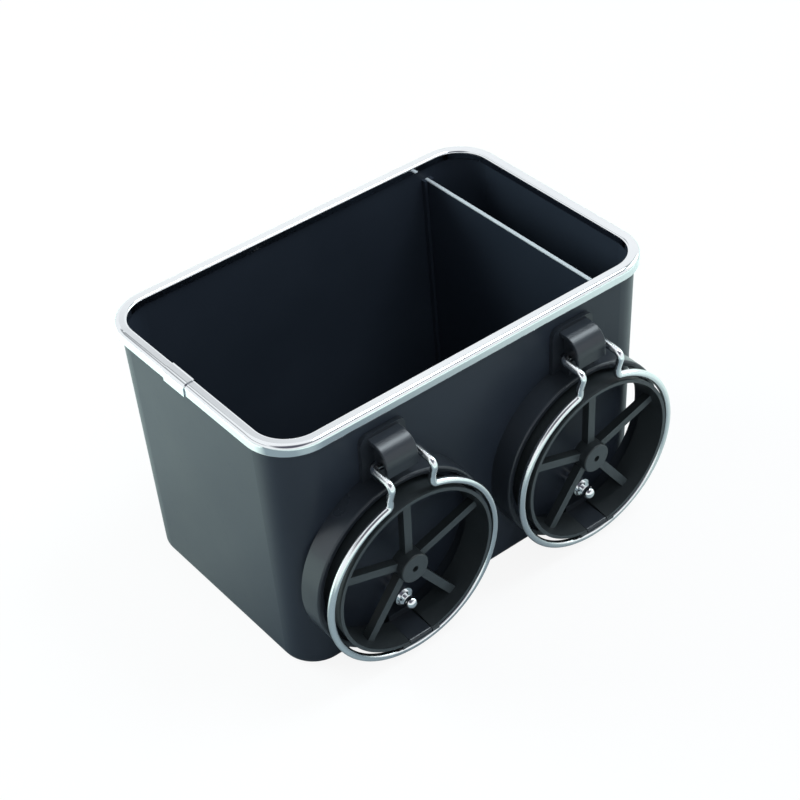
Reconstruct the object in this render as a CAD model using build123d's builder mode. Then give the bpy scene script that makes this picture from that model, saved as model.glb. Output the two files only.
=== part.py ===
"""Car armrest box with a chrome rim, a divider and two fold-out cup holders.

Millimetres, +Z up, +X along the long side, cup holders on the -Y side.
The origin is the centre of the base, on the underside.
"""
import os
from math import cos, radians, sin, sqrt, tan

from build123d import *

# Box
opening_length = 200.0
opening_width = 124.3
opening_corner = 16.5
draft = 1.6
wall = 2.5
floor = 3.0
wall_out = 3.5
base_round = 4.0
cavity_round = 3.0
overrun = 0.5

# Rim trim
trim_seat = 0.6
trim_leg_depth = 3.4
trim_play = 0.05
trim_out = 5.8
trim_top = 0.7
trim_bottom = -5.2
trim_outer_round = 2.2
trim_inner_round = 1.2
trim_lower_round = 0.8

# Joiner sleeve over the butt of the trim
joiner_length = 15.5
joiner_y = 5.55
joiner_gauge = 0.5
joiner_leg_depth = 2.4
butt_gap = 0.4

# Divider
narrow_room = 21.5
divider_thickness = 2.0
divider_below_rim = 9.2
divider_side_gap = 0.4
rib_gap = 0.2
rib_thickness = 1.6
rib_depth = 2.6

# Holder band
band_radius = 46.0
band_wall = 3.0
band_depth = 11.75
band_round = 1.0
band_spacing = 14.0
screw_above_floor = 1.95

# Holder pad, hood and neck
hood_half = 8.2
hood_web_half = 5.2
hood_shell = 1.8
hood_radius = 8.8
hood_out = 6.0
hood_edge = 0.5
hood_above_pivot = 1.5
hood_above_band = 7.2
pad_half = 11.8
pad_above_hood = 1.7
pad_thickness = 2.2
pad_round = 4.0
pad_below_rim = 11.9
neck_half = 7.4
neck_depth = 8.4
pivot_above_band = 10.5
pivot_out = 8.0

# Hoop
wire = 3.4
hoop_inside_band = 1.1
hoop_drop = 1.0
hoop_out = 19.25
leg_half = 11.2
elbow_below_pivot = 0.9
elbow_out = 21.6
shoulder_below_pivot = 9.4
wire_bend = 2.6
wire_end_half = 0.6
running_gap = 0.05

# Tray
tray_in_band = 1.4
tray_back = 7.5
tray_front = 21.4
tray_taper = 1.6
tray_wall = 1.6
rim_flange = 1.2
flange_step = 0.2
spoke_count = 5
spoke_width = 4.0
spoke_depth = 4.0
spoke_front = 15.75
spoke_end_gap = 0.3
hub_radius = 7.35
hub_front = 19.8
hub_hole = 3.0
hub_round = 0.8

# Tray hinge
hinge_in_rim = 0.4
hinge_out = 20.3
hinge_barrel = 1.7
pin_diameter = 1.6
pin_chamfer = 0.25
lug_half = 6.0
lug_gap = 0.4
pin_half = 10.2
lug_root = 0.6
lug_toe = 1.5
foot_thickness = 6.8
foot_above_screw = 4.0

# Ball stud
stud_down = 24.2
stud_shank = 4.0
stud_base_radius = 3.2
stud_collar_radius = 4.5
stud_collar_back = 9.0
stud_collar_front = 10.6
stud_step_radius = 3.4
stud_step_front = 11.6
stud_neck_radius = 1.7
stud_ball_radius = 3.1
stud_ball_out = 14.9
washer_radius = 4.5
washer_thickness = 0.8
nut_across_flats = 7.0
nut_thickness = 3.2
stud_tail = 1.0

# Screws
screw_diameter = 3.0
screw_hole = 3.2
screw_head_radius = 3.0
screw_head_height = 2.0
screw_head_round = 0.8
screw_reach = 6.0
screw_end_room = 0.4
screw_point = 0.5
cross_length = 2.6
cross_width = 0.7
cross_depth = 1.0
upper_screw_half = 3.4
upper_screw_above_pivot = 5.3
lower_screw_in_band = 3.0

# Values worked out from the ones above
slope = tan(radians(draft))
tilt = radians(draft)
band_bore = band_radius - band_wall
holder_x = band_radius + band_spacing / 2
pivot_up = band_radius + pivot_above_band
hood_up = pivot_up + hood_above_pivot
hood_low = band_radius + hood_above_band
hood_top = hood_up + hood_radius
hood_front = hood_out + hood_radius
pad_top = hood_top + pad_above_hood
lower_screw_down = band_bore - lower_screw_in_band
foot_top = lower_screw_down - foot_above_screw
ring_z = floor + cavity_round + screw_above_floor + screw_head_radius + lower_screw_down
rim_height = ring_z + pad_top + pad_below_rim
wall_top = rim_height - trim_seat
wall_across = wall / cos(tilt)
base_inset = rim_height * slope
base_length = opening_length + 2 * (wall_out - base_inset)
base_width = opening_width + 2 * (wall_out - base_inset)
base_corner = opening_corner + wall_out - base_inset
wall_y = base_width / 2 + ring_z * slope
divider_x = opening_length / 2 - narrow_room - divider_thickness / 2
divider_top = rim_height - divider_below_rim
hoop_radius = band_radius - hoop_inside_band
elbow_up = pivot_up - elbow_below_pivot
shoulder_up = pivot_up - shoulder_below_pivot
tray_front_radius = band_bore - tray_in_band
tray_back_radius = tray_front_radius - tray_taper
tray_spoke_back = spoke_front - spoke_depth
hinge_down = tray_front_radius - hinge_in_rim
arm_top = hinge_down - hinge_barrel
arm_low = hinge_down + hinge_barrel
lug_low = band_bore + lug_root
stud_inside = wall + washer_thickness + nut_thickness + stud_tail
channel_out = wall_out + trim_play
channel_in = wall_out - wall_across - trim_leg_depth * slope - trim_play


def half_inside(height):
    """Half width of the cavity across Y at a height above the base."""
    return base_width / 2 + height * slope - wall_across


off_wall = (0, -cos(tilt), -sin(tilt))
ring_centre = (-holder_x, -wall_y, ring_z)
ring_plane = Plane(origin=ring_centre, x_dir=(1, 0, 0), z_dir=off_wall)
side_plane = Plane(origin=ring_centre, x_dir=off_wall, z_dir=(-1, 0, 0))
ring_axis = Axis(ring_centre, off_wall)
screw_places = [
    (-upper_screw_half, pivot_up + upper_screw_above_pivot),
    (upper_screw_half, pivot_up + upper_screw_above_pivot),
    (0, -lower_screw_down),
]


def bent_line(points, bend):
    """Draw lines through the points in the open line block, with every inner corner rounded."""
    here = Vector(*points[0])
    for before, corner, after in zip(points, points[1:], points[2:]):
        corner = Vector(*corner)
        back = (Vector(*before) - corner).normalized()
        ahead = (Vector(*after) - corner).normalized()
        half_cos = sqrt((1 + back.dot(ahead)) / 2)
        half_sin = sqrt((1 - back.dot(ahead)) / 2)
        reach = bend * half_cos / half_sin
        start = corner + back * reach
        end = corner + ahead * reach
        middle = corner + (back + ahead).normalized() * (bend / half_sin - bend)
        Line(tuple(here), tuple(start))
        ThreePointArc(tuple(start), tuple(middle), tuple(end))
        here = end
    Line(tuple(here), points[-1])


def crown_line(grow, inner_low, outer_low):
    """Draw the trim's crown in the open line block, from its inner leg over the top to its outer side."""
    inner_across = trim_inner_round
    inner_up = trim_top - trim_inner_round
    outer_across = trim_out - trim_outer_round
    outer_up = trim_top - trim_outer_round
    top = trim_top + grow
    inner_reach = (trim_inner_round + grow) * sqrt(0.5)
    outer_reach = (trim_outer_round + grow) * sqrt(0.5)
    Line((-grow, inner_low), (-grow, inner_up))
    ThreePointArc(
        (-grow, inner_up), (inner_across - inner_reach, inner_up + inner_reach), (inner_across, top)
    )
    Line((inner_across, top), (outer_across, top))
    ThreePointArc(
        (outer_across, top),
        (outer_across + outer_reach, outer_up + outer_reach),
        (trim_out + grow, outer_up),
    )
    Line((trim_out + grow, outer_up), (trim_out + grow, outer_low))


os.makedirs("parts", exist_ok=True)

with BuildPart() as box_shell:
    with BuildSketch(Plane.XY):
        RectangleRounded(base_length, base_width, base_corner)
    extrude(amount=wall_top, taper=-draft)
    fillet(box_shell.edges().group_by(Axis.Z)[0], base_round)
    inset = 2 * (floor * slope - wall_across)
    with BuildSketch(Plane.XY.offset(floor)):
        RectangleRounded(base_length + inset, base_width + inset, base_corner + inset / 2)
    extrude(amount=wall_top, taper=-draft, mode=Mode.SUBTRACT)
    floor_edges = box_shell.edges().filter_by_position(Axis.Z, floor - trim_play, floor + trim_play)
    fillet(floor_edges, cavity_round)
    for side in (-1, 1):
        for step in (-1, 1):
            rib_x = divider_x + step * (divider_thickness / 2 + rib_gap + rib_thickness / 2)
            with BuildSketch(Plane.YZ.offset(rib_x)):
                with BuildLine():
                    low = half_inside(floor)
                    high = half_inside(divider_top)
                    Polyline(
                        (side * (low - rib_depth), floor - overrun),
                        (side * (high - rib_depth), divider_top),
                        (side * (high + overrun), divider_top),
                        (side * (low + overrun), floor - overrun),
                        close=True,
                    )
                make_face()
            extrude(amount=rib_thickness / 2, both=True)
    for shift in (0, 2 * holder_x):
        moved = Plane(
            origin=(ring_centre[0] + shift, ring_centre[1], ring_centre[2]),
            x_dir=(1, 0, 0),
            z_dir=off_wall,
        )
        with BuildSketch(moved):
            with Locations(*screw_places):
                Circle(screw_hole / 2)
            with Locations((0, -stud_down)):
                Circle(stud_shank / 2 + running_gap)
        extrude(amount=2 * wall, both=True, mode=Mode.SUBTRACT)
box_shell.part.label = "box_shell"
export_step(box_shell.part, "parts/box_shell.step")

with BuildPart() as edge_trim:
    with BuildLine(Plane.XY.offset(rim_height)) as rim_path:
        FilletPolyline(
            (-opening_length / 2, joiner_y + butt_gap / 2),
            (-opening_length / 2, opening_width / 2),
            (opening_length / 2, opening_width / 2),
            (opening_length / 2, -opening_width / 2),
            (-opening_length / 2, -opening_width / 2),
            (-opening_length / 2, joiner_y - butt_gap / 2),
            radius=opening_corner,
        )
    strip_end = Plane(origin=rim_path.line @ 0, x_dir=(-1, 0, 0), z_dir=rim_path.line % 0)
    with BuildSketch(strip_end):
        with BuildLine():
            crown_line(0, -trim_leg_depth, trim_bottom + trim_lower_round)
            lower_reach = trim_lower_round * sqrt(0.5)
            ThreePointArc(
                (trim_out, trim_bottom + trim_lower_round),
                (
                    trim_out - trim_lower_round + lower_reach,
                    trim_bottom + trim_lower_round - lower_reach,
                ),
                (trim_out - trim_lower_round, trim_bottom),
            )
            Polyline(
                (trim_out - trim_lower_round, trim_bottom),
                (channel_out, trim_bottom),
                (channel_out, -trim_seat),
                (channel_in, -trim_seat),
                (channel_in, -trim_leg_depth),
                (0, -trim_leg_depth),
            )
        make_face()
    sweep(path=rim_path.line)
edge_trim.part.label = "edge_trim"
export_step(edge_trim.part, "parts/edge_trim.step")

with BuildPart() as trim_joiner:
    sleeve_plane = Plane(
        origin=(-opening_length / 2, joiner_y, rim_height), x_dir=(-1, 0, 0), z_dir=(0, 1, 0)
    )
    sleeve_grow = trim_play + joiner_gauge
    with BuildSketch(sleeve_plane):
        with BuildLine():
            crown_line(trim_play, -joiner_leg_depth, trim_bottom)
            crown_line(sleeve_grow, -joiner_leg_depth, trim_bottom)
            Line((-trim_play, -joiner_leg_depth), (-sleeve_grow, -joiner_leg_depth))
            Line((trim_out + trim_play, trim_bottom), (trim_out + sleeve_grow, trim_bottom))
        make_face()
    extrude(amount=joiner_length / 2, both=True)
trim_joiner.part.label = "trim_joiner"
export_step(trim_joiner.part, "parts/trim_joiner.step")

with BuildPart() as divider:
    with BuildSketch(Plane.YZ.offset(divider_x)):
        with BuildLine():
            low = half_inside(floor) - divider_side_gap
            knee = half_inside(floor + cavity_round) - divider_side_gap
            high = half_inside(divider_top) - divider_side_gap
            Polyline(
                (-(low - cavity_round), floor),
                (low - cavity_round, floor),
                (knee, floor + cavity_round),
                (high, divider_top),
                (-high, divider_top),
                (-knee, floor + cavity_round),
                close=True,
            )
        make_face()
    extrude(amount=divider_thickness / 2, both=True)
    fillet(divider.edges().filter_by(Axis.Y).group_by(Axis.Z)[-1], divider_thickness / 4)
divider.part.label = "divider"
export_step(divider.part, "parts/divider.step")

with BuildPart() as left_holder_body:
    with BuildSketch(side_plane):
        with BuildLine():
            hood_reach = hood_radius * sqrt(0.5)
            Polyline((hood_out, hood_top), (0, hood_top), (0, hood_low), (hood_front, hood_low), (hood_front, hood_up))
            ThreePointArc(
                (hood_front, hood_up), (hood_out + hood_reach, hood_up + hood_reach), (hood_out, hood_top)
            )
        make_face()
    extrude(amount=hood_half, both=True)
    for end in (left_holder_body.faces().sort_by(Axis.X)[0], left_holder_body.faces().sort_by(Axis.X)[-1]):
        fillet(end.edges().sort_by(ring_axis)[1:], hood_edge)
    for turn in (-1, 1):
        with BuildSketch(side_plane.offset(turn * hood_web_half)):
            with BuildLine():
                hollow_front = hood_front - hood_shell
                hollow_reach = (hood_radius - hood_shell) * sqrt(0.5)
                Polyline(
                    (hood_out, hood_top - hood_shell),
                    (pad_thickness, hood_top - hood_shell),
                    (pad_thickness, hood_low - overrun),
                    (hollow_front, hood_low - overrun),
                    (hollow_front, hood_up),
                )
                ThreePointArc(
                    (hollow_front, hood_up),
                    (hood_out + hollow_reach, hood_up + hollow_reach),
                    (hood_out, hood_top - hood_shell),
                )
            make_face()
        extrude(amount=turn * hood_half, mode=Mode.SUBTRACT)
    with BuildSketch(side_plane):
        with Locations((pivot_out, pivot_up)):
            Circle(wire / 2 + running_gap)
    extrude(amount=2 * hood_half, both=True, mode=Mode.SUBTRACT)
    with BuildSketch(ring_plane):
        Circle(band_radius)
        Circle(band_bore, mode=Mode.SUBTRACT)
    extrude(amount=band_depth)
    band_front = ring_plane.offset(band_depth)
    front_rings = left_holder_body.edges().filter_by(GeomType.CIRCLE).filter_by(
        lambda edge: edge.radius > band_bore - overrun and abs(band_front.to_local_coords(edge.center()).Z) < overrun
    )
    fillet(front_rings, band_round)
    with BuildSketch(ring_plane):
        with Locations((0, (pad_top + band_radius - band_wall / 2) / 2)):
            Rectangle(2 * pad_half, pad_top - band_radius + band_wall / 2)
        fillet(vertices().group_by(Axis.Y)[-1], pad_round)
    extrude(amount=pad_thickness)
    with BuildSketch(ring_plane):
        with Locations((0, (hood_low + band_radius - band_wall / 2) / 2)):
            Rectangle(2 * neck_half, hood_low - band_radius + band_wall / 2)
    extrude(amount=neck_depth)
    with BuildSketch(side_plane):
        with BuildLine():
            Polyline(
                (hinge_out, -arm_top),
                (foot_thickness, -arm_top),
                (foot_thickness, -foot_top),
                (0, -foot_top),
                (0, -lug_low),
                (band_depth - band_round, -lug_low),
                (band_depth + lug_toe, -arm_low),
                (hinge_out, -arm_low),
            )
            ThreePointArc(
                (hinge_out, -arm_low), (hinge_out + hinge_barrel, -hinge_down), (hinge_out, -arm_top)
            )
        make_face()
    extrude(amount=lug_half, both=True)
    with BuildSketch(side_plane):
        with Locations((hinge_out, -hinge_down)):
            Circle(pin_diameter / 2 + running_gap)
    extrude(amount=2 * pin_half, both=True, mode=Mode.SUBTRACT)
    with BuildSketch(ring_plane):
        with Locations(*screw_places):
            Circle(screw_diameter / 2 + running_gap)
    extrude(amount=screw_reach + screw_end_room, mode=Mode.SUBTRACT)
left_holder_body.part.label = "left_holder_body"
export_step(left_holder_body.part, "parts/left_holder_body.step")

with BuildPart() as left_hoop:
    corner_across = leg_half + wire_bend
    corner_up = sqrt((hoop_radius + wire_bend) ** 2 - corner_across**2)
    shrink = hoop_radius / (hoop_radius + wire_bend)
    join_across = corner_across * shrink
    join_up = corner_up * shrink - hoop_drop
    line_up = corner_up - hoop_drop
    to_line = Vector(-1, 0)
    to_join = Vector(-corner_across, -corner_up).normalized()
    half_way = (to_line + to_join).normalized() * wire_bend
    middle_across = corner_across + half_way.X
    middle_up = line_up + half_way.Y
    right_leg = [
        (wire_end_half, pivot_up, pivot_out),
        (leg_half, pivot_up, pivot_out),
        (leg_half, elbow_up, elbow_out),
        (leg_half, shoulder_up, hoop_out),
        (leg_half, line_up, hoop_out),
    ]
    left_leg = [(-u, v, w) for u, v, w in right_leg]
    with BuildLine(ring_plane) as wire_path:
        bent_line(left_leg, wire_bend)
        ThreePointArc(
            (-leg_half, line_up, hoop_out),
            (-middle_across, middle_up, hoop_out),
            (-join_across, join_up, hoop_out),
        )
        ThreePointArc(
            (-join_across, join_up, hoop_out),
            (0, -hoop_radius - hoop_drop, hoop_out),
            (join_across, join_up, hoop_out),
        )
        ThreePointArc(
            (join_across, join_up, hoop_out),
            (middle_across, middle_up, hoop_out),
            (leg_half, line_up, hoop_out),
        )
        bent_line(right_leg[::-1], wire_bend)
    with BuildSketch(Plane(origin=wire_path.line @ 0, z_dir=wire_path.line % 0)):
        Circle(wire / 2)
    sweep(path=wire_path.line)
left_hoop.part.label = "left_hoop"
export_step(left_hoop.part, "parts/left_hoop.step")

with BuildPart() as left_tray:
    with BuildSketch(side_plane):
        with BuildLine():
            Polyline(
                (tray_back, tray_back_radius - tray_wall),
                (tray_front, tray_front_radius - tray_wall),
                (tray_front, tray_front_radius),
                (tray_front - rim_flange, tray_front_radius),
                (tray_front - rim_flange, tray_front_radius - flange_step),
                (tray_back, tray_back_radius),
                close=True,
            )
        make_face()
    revolve(axis=ring_axis)
    with BuildSketch(ring_plane.offset(tray_spoke_back)):
        spoke_reach = tray_back_radius - spoke_end_gap
        with PolarLocations(spoke_reach / 2, spoke_count, start_angle=90):
            Rectangle(spoke_reach, spoke_width)
    extrude(amount=spoke_depth)
    with BuildSketch(ring_plane.offset(tray_spoke_back)):
        Circle(hub_radius)
    extrude(amount=hub_front - tray_spoke_back)
    hub_ring = left_tray.edges().filter_by(GeomType.CIRCLE).filter_by(
        lambda edge: abs(edge.radius - hub_radius) < trim_play
    ).sort_by(ring_axis)[-1]
    fillet(hub_ring, hub_round)
    with BuildSketch(ring_plane.offset(tray_spoke_back)):
        Circle(hub_hole / 2)
    extrude(amount=hub_front, mode=Mode.SUBTRACT)
    with BuildSketch(side_plane):
        with Locations((hinge_out, -hinge_down)):
            Circle(hinge_barrel)
    extrude(amount=pin_half, both=True)
    with BuildSketch(ring_plane):
        with Locations((0, -hinge_down)):
            Rectangle(2 * (lug_half + lug_gap), 5 * hinge_barrel)
    extrude(amount=2 * hinge_out, mode=Mode.SUBTRACT)
    with BuildSketch(side_plane):
        with Locations((hinge_out, -hinge_down)):
            Circle(pin_diameter / 2 + running_gap)
    extrude(amount=2 * pin_half, both=True, mode=Mode.SUBTRACT)
left_tray.part.label = "left_tray"
export_step(left_tray.part, "parts/left_tray.step")

with BuildPart() as left_tray_pin:
    with BuildSketch(side_plane):
        with Locations((hinge_out, -hinge_down)):
            Circle(pin_diameter / 2)
    extrude(amount=pin_half, both=True)
    chamfer(left_tray_pin.edges().filter_by(GeomType.CIRCLE), pin_chamfer)
left_tray_pin.part.label = "left_tray_pin"
export_step(left_tray_pin.part, "parts/left_tray_pin.step")

stud_axis_point = ring_plane.from_local_coords((0, -stud_down, 0))
stud_axis = Axis(stud_axis_point, off_wall)
with BuildPart() as left_ball_stud:
    with BuildSketch(Plane(origin=stud_axis_point, x_dir=off_wall, z_dir=(-1, 0, 0))):
        with BuildLine():
            neck_end = stud_ball_out - sqrt(stud_ball_radius**2 - stud_neck_radius**2)
            Polyline(
                (stud_ball_out + stud_ball_radius, 0),
                (-stud_inside, 0),
                (-stud_inside, stud_shank / 2),
                (0, stud_shank / 2),
                (0, stud_base_radius),
                (stud_collar_back, stud_base_radius),
                (stud_collar_back, stud_collar_radius),
                (stud_collar_front, stud_collar_radius),
                (stud_collar_front, stud_step_radius),
                (stud_step_front, stud_step_radius),
                (stud_step_front, stud_neck_radius),
                (neck_end, stud_neck_radius),
            )
            ThreePointArc(
                (neck_end, stud_neck_radius),
                (stud_ball_out, stud_ball_radius),
                (stud_ball_out + stud_ball_radius, 0),
            )
        make_face()
    revolve(axis=stud_axis)
left_ball_stud.part.label = "left_ball_stud"
export_step(left_ball_stud.part, "parts/left_ball_stud.step")

stud_plane = Plane(origin=stud_axis_point, x_dir=(1, 0, 0), z_dir=off_wall)
with BuildPart() as left_stud_washer:
    with BuildSketch(stud_plane.offset(-wall)):
        Circle(washer_radius)
        Circle(stud_shank / 2 + running_gap, mode=Mode.SUBTRACT)
    extrude(amount=-washer_thickness)
left_stud_washer.part.label = "left_stud_washer"
export_step(left_stud_washer.part, "parts/left_stud_washer.step")

with BuildPart() as left_stud_nut:
    with BuildSketch(stud_plane.offset(-wall - washer_thickness)):
        RegularPolygon(nut_across_flats / 2, 6, major_radius=False)
        Circle(stud_shank / 2 + running_gap, mode=Mode.SUBTRACT)
    extrude(amount=-nut_thickness)
left_stud_nut.part.label = "left_stud_nut"
export_step(left_stud_nut.part, "parts/left_stud_nut.step")

screw_names = ["left_outer_screw", "left_inner_screw", "left_lower_screw"]
screw_parts = {}
for screw_name, place in zip(screw_names, screw_places):
    with BuildPart() as screw:
        with BuildSketch(ring_plane.offset(-wall)):
            with Locations(place):
                Circle(screw_head_radius)
        extrude(amount=-screw_head_height)
        fillet(screw.faces().sort_by(ring_axis)[0].edges(), screw_head_round)
        with BuildSketch(ring_plane.offset(-wall)):
            with Locations(place):
                Circle(screw_diameter / 2)
        extrude(amount=wall + screw_reach)
        chamfer(screw.faces().sort_by(ring_axis)[-1].edges(), screw_point)
        with BuildSketch(ring_plane.offset(-wall - screw_head_height)):
            with Locations(place):
                Rectangle(cross_length, cross_width)
                Rectangle(cross_width, cross_length)
        extrude(amount=cross_depth, mode=Mode.SUBTRACT)
    screw.part.label = screw_name
    export_step(screw.part, "parts/" + screw_name + ".step")
    screw_parts[screw_name] = screw.part

left_parts = {
    "holder_body": left_holder_body.part,
    "hoop": left_hoop.part,
    "tray": left_tray.part,
    "tray_pin": left_tray_pin.part,
    "ball_stud": left_ball_stud.part,
    "stud_washer": left_stud_washer.part,
    "stud_nut": left_stud_nut.part,
    "outer_screw": screw_parts["left_inner_screw"],
    "inner_screw": screw_parts["left_outer_screw"],
    "lower_screw": screw_parts["left_lower_screw"],
}
for piece_name, piece in left_parts.items():
    with BuildPart() as right_piece:
        with Locations((2 * holder_x, 0, 0)):
            add(piece)
    right_piece.part.label = "right_" + piece_name
    export_step(right_piece.part, "parts/right_" + piece_name + ".step")
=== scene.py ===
from math import cos, radians, sin

import bpy
from mathutils import Matrix, Vector


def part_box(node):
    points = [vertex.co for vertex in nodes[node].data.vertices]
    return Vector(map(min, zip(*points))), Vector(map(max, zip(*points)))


# Car armrest box: finishes for its pieces, a floor, surroundings, lamps and the camera
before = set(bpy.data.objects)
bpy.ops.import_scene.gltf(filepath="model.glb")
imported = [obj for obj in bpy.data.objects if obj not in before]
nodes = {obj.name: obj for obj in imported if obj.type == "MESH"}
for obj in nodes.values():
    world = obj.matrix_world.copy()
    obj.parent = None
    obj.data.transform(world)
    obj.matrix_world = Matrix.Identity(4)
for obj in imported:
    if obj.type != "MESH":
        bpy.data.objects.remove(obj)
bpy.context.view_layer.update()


# Node helpers
def new_group(name, inputs, outputs):
    """A shader node group with float inputs at their defaults and the named outputs."""
    group = bpy.data.node_groups.new(name, "ShaderNodeTree")
    for label, value in inputs:
        socket = group.interface.new_socket(label, in_out="INPUT", socket_type="NodeSocketFloat")
        socket.default_value = value
    for label in outputs:
        group.interface.new_socket(label, in_out="OUTPUT", socket_type="NodeSocketFloat")
    return group, group.nodes.new("NodeGroupInput"), group.nodes.new("NodeGroupOutput")


def add_noise(tree, coordinates, scale, detail, roughness=0.5):
    """A noise texture on the given coordinates, with its scale from a socket."""
    noise = tree.nodes.new("ShaderNodeTexNoise")
    noise.inputs["Detail"].default_value = detail
    noise.inputs["Roughness"].default_value = roughness
    tree.links.new(coordinates, noise.inputs["Vector"])
    tree.links.new(scale, noise.inputs["Scale"])
    return noise.outputs["Fac"]


def add_math(tree, operation, first, second, clamp=False):
    """A math node on two numbers or sockets."""
    node = tree.nodes.new("ShaderNodeMath")
    node.operation = operation
    node.use_clamp = clamp
    for place, value in enumerate((first, second)):
        if isinstance(value, (int, float)):
            node.inputs[place].default_value = value
        else:
            tree.links.new(value, node.inputs[place])
    return node.outputs[0]


def add_multiply_add(tree, value, factor, base):
    """A value times a plain factor, added to another value."""
    total = add_math(tree, "MULTIPLY_ADD", value, factor)
    tree.links.new(base, total.node.inputs[2])
    return total


def add_range(tree, value, low, high, out_low=0.0, out_high=1.0):
    """A map range node from low..high to out_low..out_high."""
    node = tree.nodes.new("ShaderNodeMapRange")
    tree.links.new(value, node.inputs["Value"])
    node.inputs["From Min"].default_value = low
    node.inputs["From Max"].default_value = high
    node.inputs["To Min"].default_value = out_low
    node.inputs["To Max"].default_value = out_high
    return node.outputs["Result"]


def add_mix(tree, factor, first, second):
    """A colour mix of two colours or sockets by a factor."""
    node = tree.nodes.new("ShaderNodeMix")
    node.data_type = "RGBA"
    tree.links.new(factor, node.inputs["Factor"])
    for label, value in (("A", first), ("B", second)):
        socket = [s for s in node.inputs if s.name == label and s.type == "RGBA"][0]
        if isinstance(value, tuple):
            socket.default_value = (*value, 1.0)
        else:
            tree.links.new(value, socket)
    return [s for s in node.outputs if s.type == "RGBA"][0]


def add_blend(tree, factor, first, second):
    """A mix of two shaders by a factor."""
    blend = tree.nodes.new("ShaderNodeMixShader")
    tree.links.new(factor, blend.inputs["Fac"])
    tree.links.new(first, blend.inputs[1])
    tree.links.new(second, blend.inputs[2])
    return blend.outputs["Shader"]


def add_split(tree, output):
    """The X, Y and Z outputs of one of the texture coordinates."""
    split = tree.nodes.new("ShaderNodeSeparateXYZ")
    tree.links.new(tree.nodes.new("ShaderNodeTexCoord").outputs[output], split.inputs[0])
    return split.outputs


# Shared surface effects
MARK_TURNS = ((0.3, 0.2, 0.5), (1.1, 0.7, -0.4), (-0.5, 1.3, 1.9))
MARK_STRETCH = (0.06, 1.6, 1.6)
MARK_EDGE = (0.62, 0.70)
WAVE_SHARE = 4.0
PATCH_SPREAD = (0.32, 0.68)
SPECK_SPREAD = (0.45, 0.75)
FACING_UP = (0.35, 0.95)


def make_moulded_skin():
    """Fine grain, slow waves and tone patches of a moulded plastic surface."""
    group, given, result = new_group(
        "moulded_skin",
        [("Grain Scale", 1400.0), ("Wave Scale", 60.0), ("Patch Scale", 14.0)],
        ["Height", "Patch"],
    )
    place = group.nodes.new("ShaderNodeTexCoord").outputs["Object"]
    grain = add_noise(group, place, given.outputs["Grain Scale"], detail=3.0, roughness=0.6)
    wave = add_noise(group, place, given.outputs["Wave Scale"], detail=1.0)
    patch = add_noise(group, place, given.outputs["Patch Scale"], detail=4.0, roughness=0.55)
    group.links.new(add_multiply_add(group, wave, WAVE_SHARE, grain), result.inputs["Height"])
    group.links.new(add_range(group, patch, *PATCH_SPREAD), result.inputs["Patch"])
    return group


def make_hairlines():
    """A mask of sparse fine rub marks in three directions."""
    group, given, result = new_group("hairlines", [("Scale", 90.0), ("Amount", 0.5)], ["Mask"])
    place = group.nodes.new("ShaderNodeTexCoord").outputs["Object"]
    lines = []
    for turn in MARK_TURNS:
        mapping = group.nodes.new("ShaderNodeMapping")
        mapping.inputs["Rotation"].default_value = turn
        mapping.inputs["Scale"].default_value = MARK_STRETCH
        group.links.new(place, mapping.inputs["Vector"])
        streak = add_noise(
            group, mapping.outputs["Vector"], given.outputs["Scale"], detail=5.0, roughness=0.7
        )
        lines.append(add_range(group, streak, *MARK_EDGE))
    total = lines[0]
    for line in lines[1:]:
        total = add_math(group, "MAXIMUM", total, line)
    mask = add_math(group, "MULTIPLY", total, given.outputs["Amount"], clamp=True)
    group.links.new(mask, result.inputs["Mask"])
    return group


def make_settled_dust():
    """A mask of thin uneven dust on faces that look up."""
    group, given, result = new_group("settled_dust", [("Scale", 260.0), ("Amount", 0.2)], ["Mask"])
    place = group.nodes.new("ShaderNodeTexCoord").outputs["Object"]
    upward = add_range(group, add_split(group, "Normal")["Z"], *FACING_UP)
    speck = add_noise(group, place, given.outputs["Scale"], detail=6.0, roughness=0.65)
    speck = add_range(group, speck, *SPECK_SPREAD)
    mask = add_math(group, "MULTIPLY", upward, speck)
    mask = add_math(group, "MULTIPLY", mask, given.outputs["Amount"], clamp=True)
    group.links.new(mask, result.inputs["Mask"])
    return group


moulded_skin = make_moulded_skin()
hairlines = make_hairlines()
settled_dust = make_settled_dust()

# Finishes
DUST = (0.16, 0.16, 0.155)
MARK_ROUGHNESS = 0.12
DUST_ROUGHNESS = 0.3
GRAIN_BUMP = 0.000004
PLATE_BUMP = 0.000003
PLATE_GRAIN_SCALE = 700.0
PLATE_WAVE_SCALE = 110.0
PLATE_MARK_SCALE = 150.0


def new_finish(name, **shader_values):
    """A material with its shader's plain values set; returns it, its tree and its shader."""
    finish = bpy.data.materials.new(name)
    finish.use_nodes = True
    tree = finish.node_tree
    shader = tree.nodes["Principled BSDF"]
    for label, value in shader_values.items():
        shader.inputs[label.replace("_", " ")].default_value = value
    return finish, tree, shader


def add_group(tree, group, **values):
    """A shared effect placed in a material with its own values."""
    node = tree.nodes.new("ShaderNodeGroup")
    node.node_tree = group
    for label, value in values.items():
        node.inputs[label.replace("_", " ")].default_value = value
    return node


def add_bump(tree, shader, height, distance):
    """A bump node from a height to the shader's normal."""
    bump = tree.nodes.new("ShaderNodeBump")
    bump.inputs["Distance"].default_value = distance
    bump.inputs["Strength"].default_value = 1.0
    tree.links.new(height, bump.inputs["Height"])
    tree.links.new(bump.outputs["Normal"], shader.inputs["Normal"])


def add_tint(tree, shader, mask, colour):
    """Another colour over the shader's base colour, where a mask says so."""
    tone = shader.inputs["Base Color"].links[0].from_socket
    tree.links.new(add_mix(tree, mask, tone, colour), shader.inputs["Base Color"])


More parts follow.
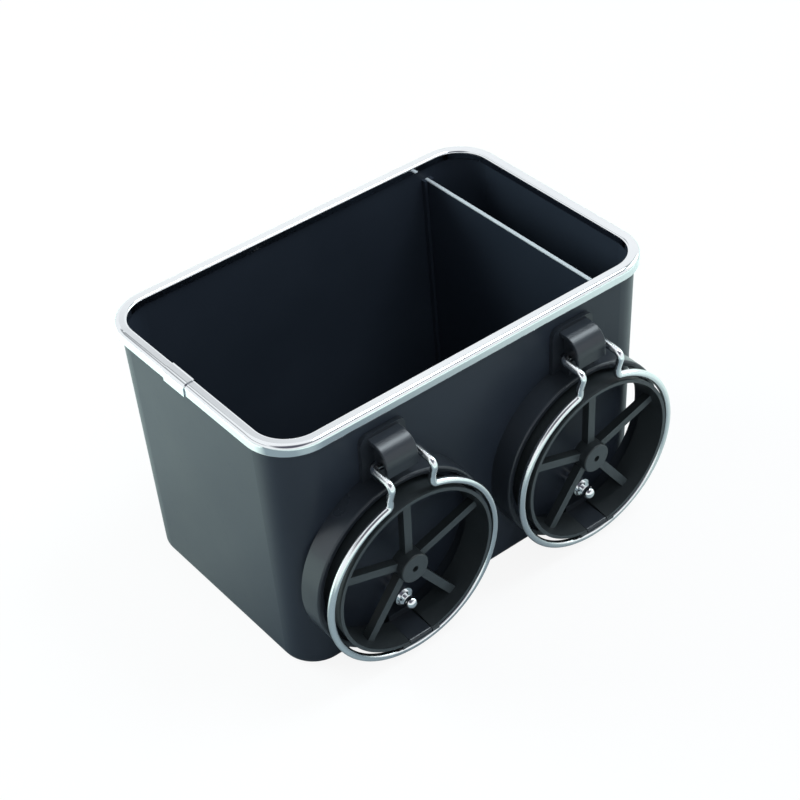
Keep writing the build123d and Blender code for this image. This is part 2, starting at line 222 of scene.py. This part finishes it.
def make_plastic(name, dark, light, rough, marked, dusty, specular):
    """Black moulded plastic: tone patches, grain, rub marks and a little dust."""
    finish, tree, shader = new_finish(name, Specular_IOR_Level=specular)
    skin = add_group(tree, moulded_skin)
    marks = add_group(tree, hairlines, Amount=marked)
    dust = add_group(tree, settled_dust, Amount=dusty)
    tone = add_mix(tree, skin.outputs["Patch"], dark, light)
    tone = add_mix(tree, dust.outputs["Mask"], tone, DUST)
    tree.links.new(tone, shader.inputs["Base Color"])
    roughness = add_range(tree, skin.outputs["Patch"], 0.0, 1.0, *rough)
    roughness = add_multiply_add(tree, marks.outputs["Mask"], MARK_ROUGHNESS, roughness)
    roughness = add_multiply_add(tree, dust.outputs["Mask"], DUST_ROUGHNESS, roughness)
    tree.links.new(roughness, shader.inputs["Roughness"])
    add_bump(tree, shader, skin.outputs["Height"], GRAIN_BUMP)
    return finish, tree, shader


def make_plated(name, dark, light, rough, marked):
    """Plated metal: slight tone drift, faint waves and hairline marks."""
    finish, tree, shader = new_finish(name, Metallic=1.0)
    skin = add_group(tree, moulded_skin, Grain_Scale=PLATE_GRAIN_SCALE, Wave_Scale=PLATE_WAVE_SCALE)
    marks = add_group(tree, hairlines, Scale=PLATE_MARK_SCALE, Amount=marked)
    tree.links.new(add_mix(tree, skin.outputs["Patch"], dark, light), shader.inputs["Base Color"])
    roughness = add_range(tree, skin.outputs["Patch"], 0.0, 1.0, *rough)
    roughness = add_multiply_add(tree, marks.outputs["Mask"], MARK_ROUGHNESS, roughness)
    tree.links.new(roughness, shader.inputs["Roughness"])
    add_bump(tree, shader, skin.outputs["Height"], PLATE_BUMP)
    return finish


def make_box_black():
    """The blue-black skin of the box."""
    return make_plastic(
        "box_black",
        dark=(0.0195, 0.0250, 0.0360),
        light=(0.0245, 0.0310, 0.0440),
        rough=(0.33, 0.41),
        marked=0.25,
        dusty=0.015,
        specular=0.30,
    )[0]


def make_divider_black():
    """The divider's skin, with a painted highlight along its top edge."""
    # pale grey painted along the top edge as a highlight, standing in for the light the edge reflects
    edge_highlight_colour = (0.42, 0.44, 0.46)
    edge_start, edge_full = 0.0008, 0.0004
    finish, tree, shader = make_plastic(
        "divider_black",
        dark=(0.0185, 0.0240, 0.0350),
        light=(0.0235, 0.0300, 0.0430),
        rough=(0.30, 0.38),
        marked=0.20,
        dusty=0.03,
        specular=0.30,
    )
    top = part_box("divider")[1].z
    height = add_split(tree, "Object")["Z"]
    # painted highlight: the pale grey fades in over the last fraction of a millimetre below the top
    edge = add_range(tree, height, top - edge_start, top - edge_full)
    add_tint(tree, shader, edge, edge_highlight_colour)
    return finish


def make_holder_black():
    """The shinier black of the cup holders' mouldings."""
    return make_plastic(
        "holder_black",
        dark=(0.0180, 0.0215, 0.0280),
        light=(0.0230, 0.0270, 0.0340),
        rough=(0.26, 0.36),
        marked=0.20,
        dusty=0.02,
        specular=0.50,
    )[0]


def make_tray_black():
    """The trays' skin, with painted light: a paler tone on the flat faces that look to the front."""
    # paler tone painted on faces that look to the front, as the light those faces catch
    front_light_colour = (0.048, 0.057, 0.061)
    facing_front = (-0.80, -0.97)
    finish, tree, shader = make_plastic(
        "tray_black",
        dark=(0.0150, 0.0180, 0.0200),
        light=(0.0200, 0.0235, 0.0255),
        rough=(0.34, 0.44),
        marked=0.20,
        dusty=0.02,
        specular=0.40,
    )
    # painted light: faces turned towards the front get the paler tone
    lit_front = add_range(tree, add_split(tree, "Normal")["Y"], *facing_front)
    add_tint(tree, shader, lit_front, front_light_colour)
    return finish


chrome = make_plated(
    "chrome", dark=(0.86, 0.88, 0.90), light=(0.93, 0.94, 0.95), rough=(0.05, 0.09), marked=0.3
)
hoop_chrome = make_plated(
    "hoop_chrome", dark=(0.90, 0.92, 0.94), light=(0.95, 0.96, 0.97), rough=(0.16, 0.22), marked=0.3
)
steel = make_plated(
    "steel", dark=(0.55, 0.56, 0.57), light=(0.66, 0.67, 0.68), rough=(0.14, 0.24), marked=0.5
)
black_steel = make_plated(
    "black_steel", dark=(0.03, 0.03, 0.035), light=(0.05, 0.05, 0.055), rough=(0.25, 0.35), marked=0.5
)

finishes = {
    "box_shell": make_box_black(),
    "edge_trim": chrome,
    "trim_joiner": chrome,
    "divider": make_divider_black(),
}
holder_finishes = {
    "holder_body": make_holder_black(),
    "hoop": hoop_chrome,
    "tray": make_tray_black(),
    "tray_pin": black_steel,
    "ball_stud": chrome,
    "stud_washer": steel,
    "stud_nut": steel,
    "outer_screw": steel,
    "inner_screw": steel,
    "lower_screw": steel,
}
for side in ("left_", "right_"):
    for part, finish in holder_finishes.items():
        finishes[side + part] = finish
for name, finish in finishes.items():
    mesh = nodes[name].data
    mesh.materials.clear()
    mesh.materials.append(finish)

# Floor: white paper for the camera, shaded in front of the box where it is seen in reflections
FLOOR_SIZE = 8.0
FLOOR_GAP = 0.0002
PAPER = (0.80, 0.81, 0.82)
PAPER_IN_GLOSS = (0.86, 0.95, 0.88)
PAPER_IN_SHADE = (0.23, 0.27, 0.29)
CAMERA_SHARE = 0.90
REFLECTED_SHARE = 0.20
SHADE_NEAR_EDGE = (-0.05, 0.03)
SHADE_FAR_EDGE = (-0.34, -0.20)
SHADE_FADE = (0.02, 0.20)
SHADE_AT_RIGHT = 0.3
WHITE = (1.0, 1.0, 1.0)


def seen_in_gloss(tree, path):
    """One for rays that come from a reflection or through glass."""
    return add_math(tree, "MAXIMUM", path.outputs["Is Glossy Ray"], path.outputs["Is Transmission Ray"])


def make_paper():
    """The floor's matt paper, mixed with a plain glow."""
    paper, tree, shader = new_finish("floor_paper", Roughness=0.9, Specular_IOR_Level=0.1)
    path = tree.nodes.new("ShaderNodeLightPath")
    in_gloss = seen_in_gloss(tree, path)
    ground = add_split(tree, "Object")
    near_edge = add_range(tree, ground["Y"], *SHADE_NEAR_EDGE, 1.0, 0.0)
    far_edge = add_range(tree, ground["Y"], *SHADE_FAR_EDGE)
    in_front = add_math(tree, "MULTIPLY", near_edge, far_edge)
    to_the_left = add_range(tree, ground["X"], *SHADE_FADE, 1.0, SHADE_AT_RIGHT)
    shaded = add_math(tree, "MULTIPLY", in_front, to_the_left)
    reflected = add_mix(tree, shaded, PAPER_IN_GLOSS, PAPER_IN_SHADE)
    tree.links.new(add_mix(tree, in_gloss, PAPER, reflected), shader.inputs["Base Color"])
    glow = tree.nodes.new("ShaderNodeEmission")
    tree.links.new(add_mix(tree, in_gloss, WHITE, reflected), glow.inputs["Color"])
    camera_share = add_math(tree, "MULTIPLY", path.outputs["Is Camera Ray"], CAMERA_SHARE)
    reflected_share = add_math(tree, "MULTIPLY", in_gloss, REFLECTED_SHARE)
    share = add_math(tree, "MAXIMUM", camera_share, reflected_share)
    surface = add_blend(tree, share, shader.outputs["BSDF"], glow.outputs["Emission"])
    tree.links.new(surface, tree.nodes["Material Output"].inputs["Surface"])
    return paper


bpy.ops.object.select_all(action="DESELECT")
bpy.ops.mesh.primitive_plane_add(size=FLOOR_SIZE, location=(0.0, 0.0, -FLOOR_GAP))
floor = bpy.context.object
floor.name = "floor"
floor.data.materials.append(make_paper())

# Surroundings: white for the camera, with darker studio shapes in reflections, and a soft fill
FILL = (0.86, 0.93, 1.0, 1.0)
FILL_STRENGTH = 0.35
SOFT_WHITE = (0.95, 0.98, 1.0)
BAR_GREY = (0.33, 0.35, 0.37)
STAND_DARK = (0.10, 0.10, 0.13)
CAMERA_SIDE = (-0.36, -0.49, 0.72)
RIGHT_FRONT = (0.35, -0.9, 0.75)
LEFT_BACK = (-0.5, 0.8, 0.6)


def facing(tree, direction, towards, outer, inner):
    """A soft round patch of the surroundings, from 0 at the outer angle to 1 at the inner one."""
    node = tree.nodes.new("ShaderNodeVectorMath")
    node.operation = "DOT_PRODUCT"
    tree.links.new(direction, node.inputs[0])
    node.inputs[1].default_value = Vector(towards).normalized()
    return add_range(tree, node.outputs["Value"], cos(radians(outer)), cos(radians(inner)))


def height_band(tree, height, low, high, soft):
    """A soft level band of the surroundings between two elevations in degrees."""
    rise = add_range(tree, height, sin(radians(low - soft)), sin(radians(low)))
    fall = add_range(tree, height, sin(radians(high)), sin(radians(high + soft)), 1.0, 0.0)
    return add_math(tree, "MULTIPLY", rise, fall)


def make_surroundings():
    """The studio around the part."""
    world = bpy.data.worlds.new("studio")
    world.use_nodes = True
    tree = world.node_tree
    direction = tree.nodes.new("ShaderNodeTexCoord").outputs["Generated"]
    height = add_split(tree, "Generated")["Z"]
    stand = facing(tree, direction, CAMERA_SIDE, outer=36.0, inner=18.0)
    right_side = facing(tree, direction, RIGHT_FRONT, outer=75.0, inner=60.0)
    left_side = facing(tree, direction, LEFT_BACK, outer=55.0, inner=40.0)
    right_band = height_band(tree, height, low=36.0, high=60.0, soft=5.0)
    right_bar = add_math(tree, "MULTIPLY", right_band, right_side)
    left_band = height_band(tree, height, low=37.0, high=43.0, soft=2.0)
    left_bar = add_math(tree, "MULTIPLY", left_band, left_side)
    shade = add_mix(tree, add_math(tree, "MAXIMUM", left_bar, right_bar), SOFT_WHITE, BAR_GREY)
    shade = add_mix(tree, stand, shade, STAND_DARK)
    path = tree.nodes.new("ShaderNodeLightPath")
    seen = tree.nodes.new("ShaderNodeBackground")
    tree.links.new(add_mix(tree, path.outputs["Is Camera Ray"], shade, WHITE), seen.inputs["Color"])
    fill = tree.nodes["Background"]
    fill.inputs["Color"].default_value = FILL
    fill.inputs["Strength"].default_value = FILL_STRENGTH
    in_sight = add_math(tree, "MAXIMUM", path.outputs["Is Camera Ray"], seen_in_gloss(tree, path))
    surface = add_blend(tree, in_sight, fill.outputs["Background"], seen.outputs["Background"])
    tree.links.new(surface, tree.nodes["World Output"].inputs["Surface"])
    return world


bpy.context.scene.world = make_surroundings()

# Lamps
BOX_MIDDLE = (0.0, 0.0, 0.07)
LEFT_FLOOR = (-0.2, 0.15, 0.0)


def add_lamp(name, place, target, size, power, colour):
    """A square soft box that faces a point of the object."""
    lamp = bpy.data.lights.new(name, "AREA")
    lamp.size = size
    lamp.energy = power
    lamp.color = colour
    holder = bpy.data.objects.new(name, lamp)
    bpy.context.scene.collection.objects.link(holder)
    holder.location = place
    holder.rotation_euler = (Vector(target) - Vector(place)).to_track_quat("-Z", "Y").to_euler()
    return holder


left_box = add_lamp(
    "left_soft_box", (-0.80, 0.95, 0.55), LEFT_FLOOR, size=0.9, power=23.0, colour=(0.84, 1.0, 0.99)
)
front_fill = add_lamp(
    "front_fill", (-0.25, -1.0, 1.3), BOX_MIDDLE, size=0.9, power=6.0, colour=(0.84, 0.96, 1.0)
)
add_lamp("top_soft_box", (0.55, -0.2, 1.23), BOX_MIDDLE, size=0.55, power=10.0, colour=(0.84, 0.94, 1.0))
add_lamp("right_fill", (1.2, -0.3, 0.7), BOX_MIDDLE, size=0.8, power=4.0, colour=(0.78, 1.0, 1.0))
for lamp in (left_box, front_fill):
    lamp.visible_glossy = False

# Camera at the photograph's place
CAMERA_PLACE = Vector((-0.4044, -0.5600, 0.62375))
AZIMUTH, ELEVATION, ROLL = radians(-36.253), radians(39.026), -0.073
LENS, SENSOR, CLIP_START = 86.5, 36.0, 0.01
back = Vector((sin(AZIMUTH) * cos(ELEVATION), -cos(AZIMUTH) * cos(ELEVATION), sin(ELEVATION)))
level = (-back).cross(Vector((0.0, 0.0, 1.0))).normalized()
upright = level.cross(-back)
right = cos(ROLL) * level + sin(ROLL) * upright
up = cos(ROLL) * upright - sin(ROLL) * level
lens = bpy.data.cameras.new("photo_camera")
lens.sensor_width = SENSOR
lens.lens = LENS
lens.clip_start = CLIP_START
camera = bpy.data.objects.new("photo_camera", lens)
bpy.context.scene.collection.objects.link(camera)
camera.matrix_world = Matrix.Translation(CAMERA_PLACE) @ Matrix((right, up, back)).transposed().to_4x4()
bpy.context.scene.camera = camera
bpy.context.scene.view_settings.view_transform = "Standard"
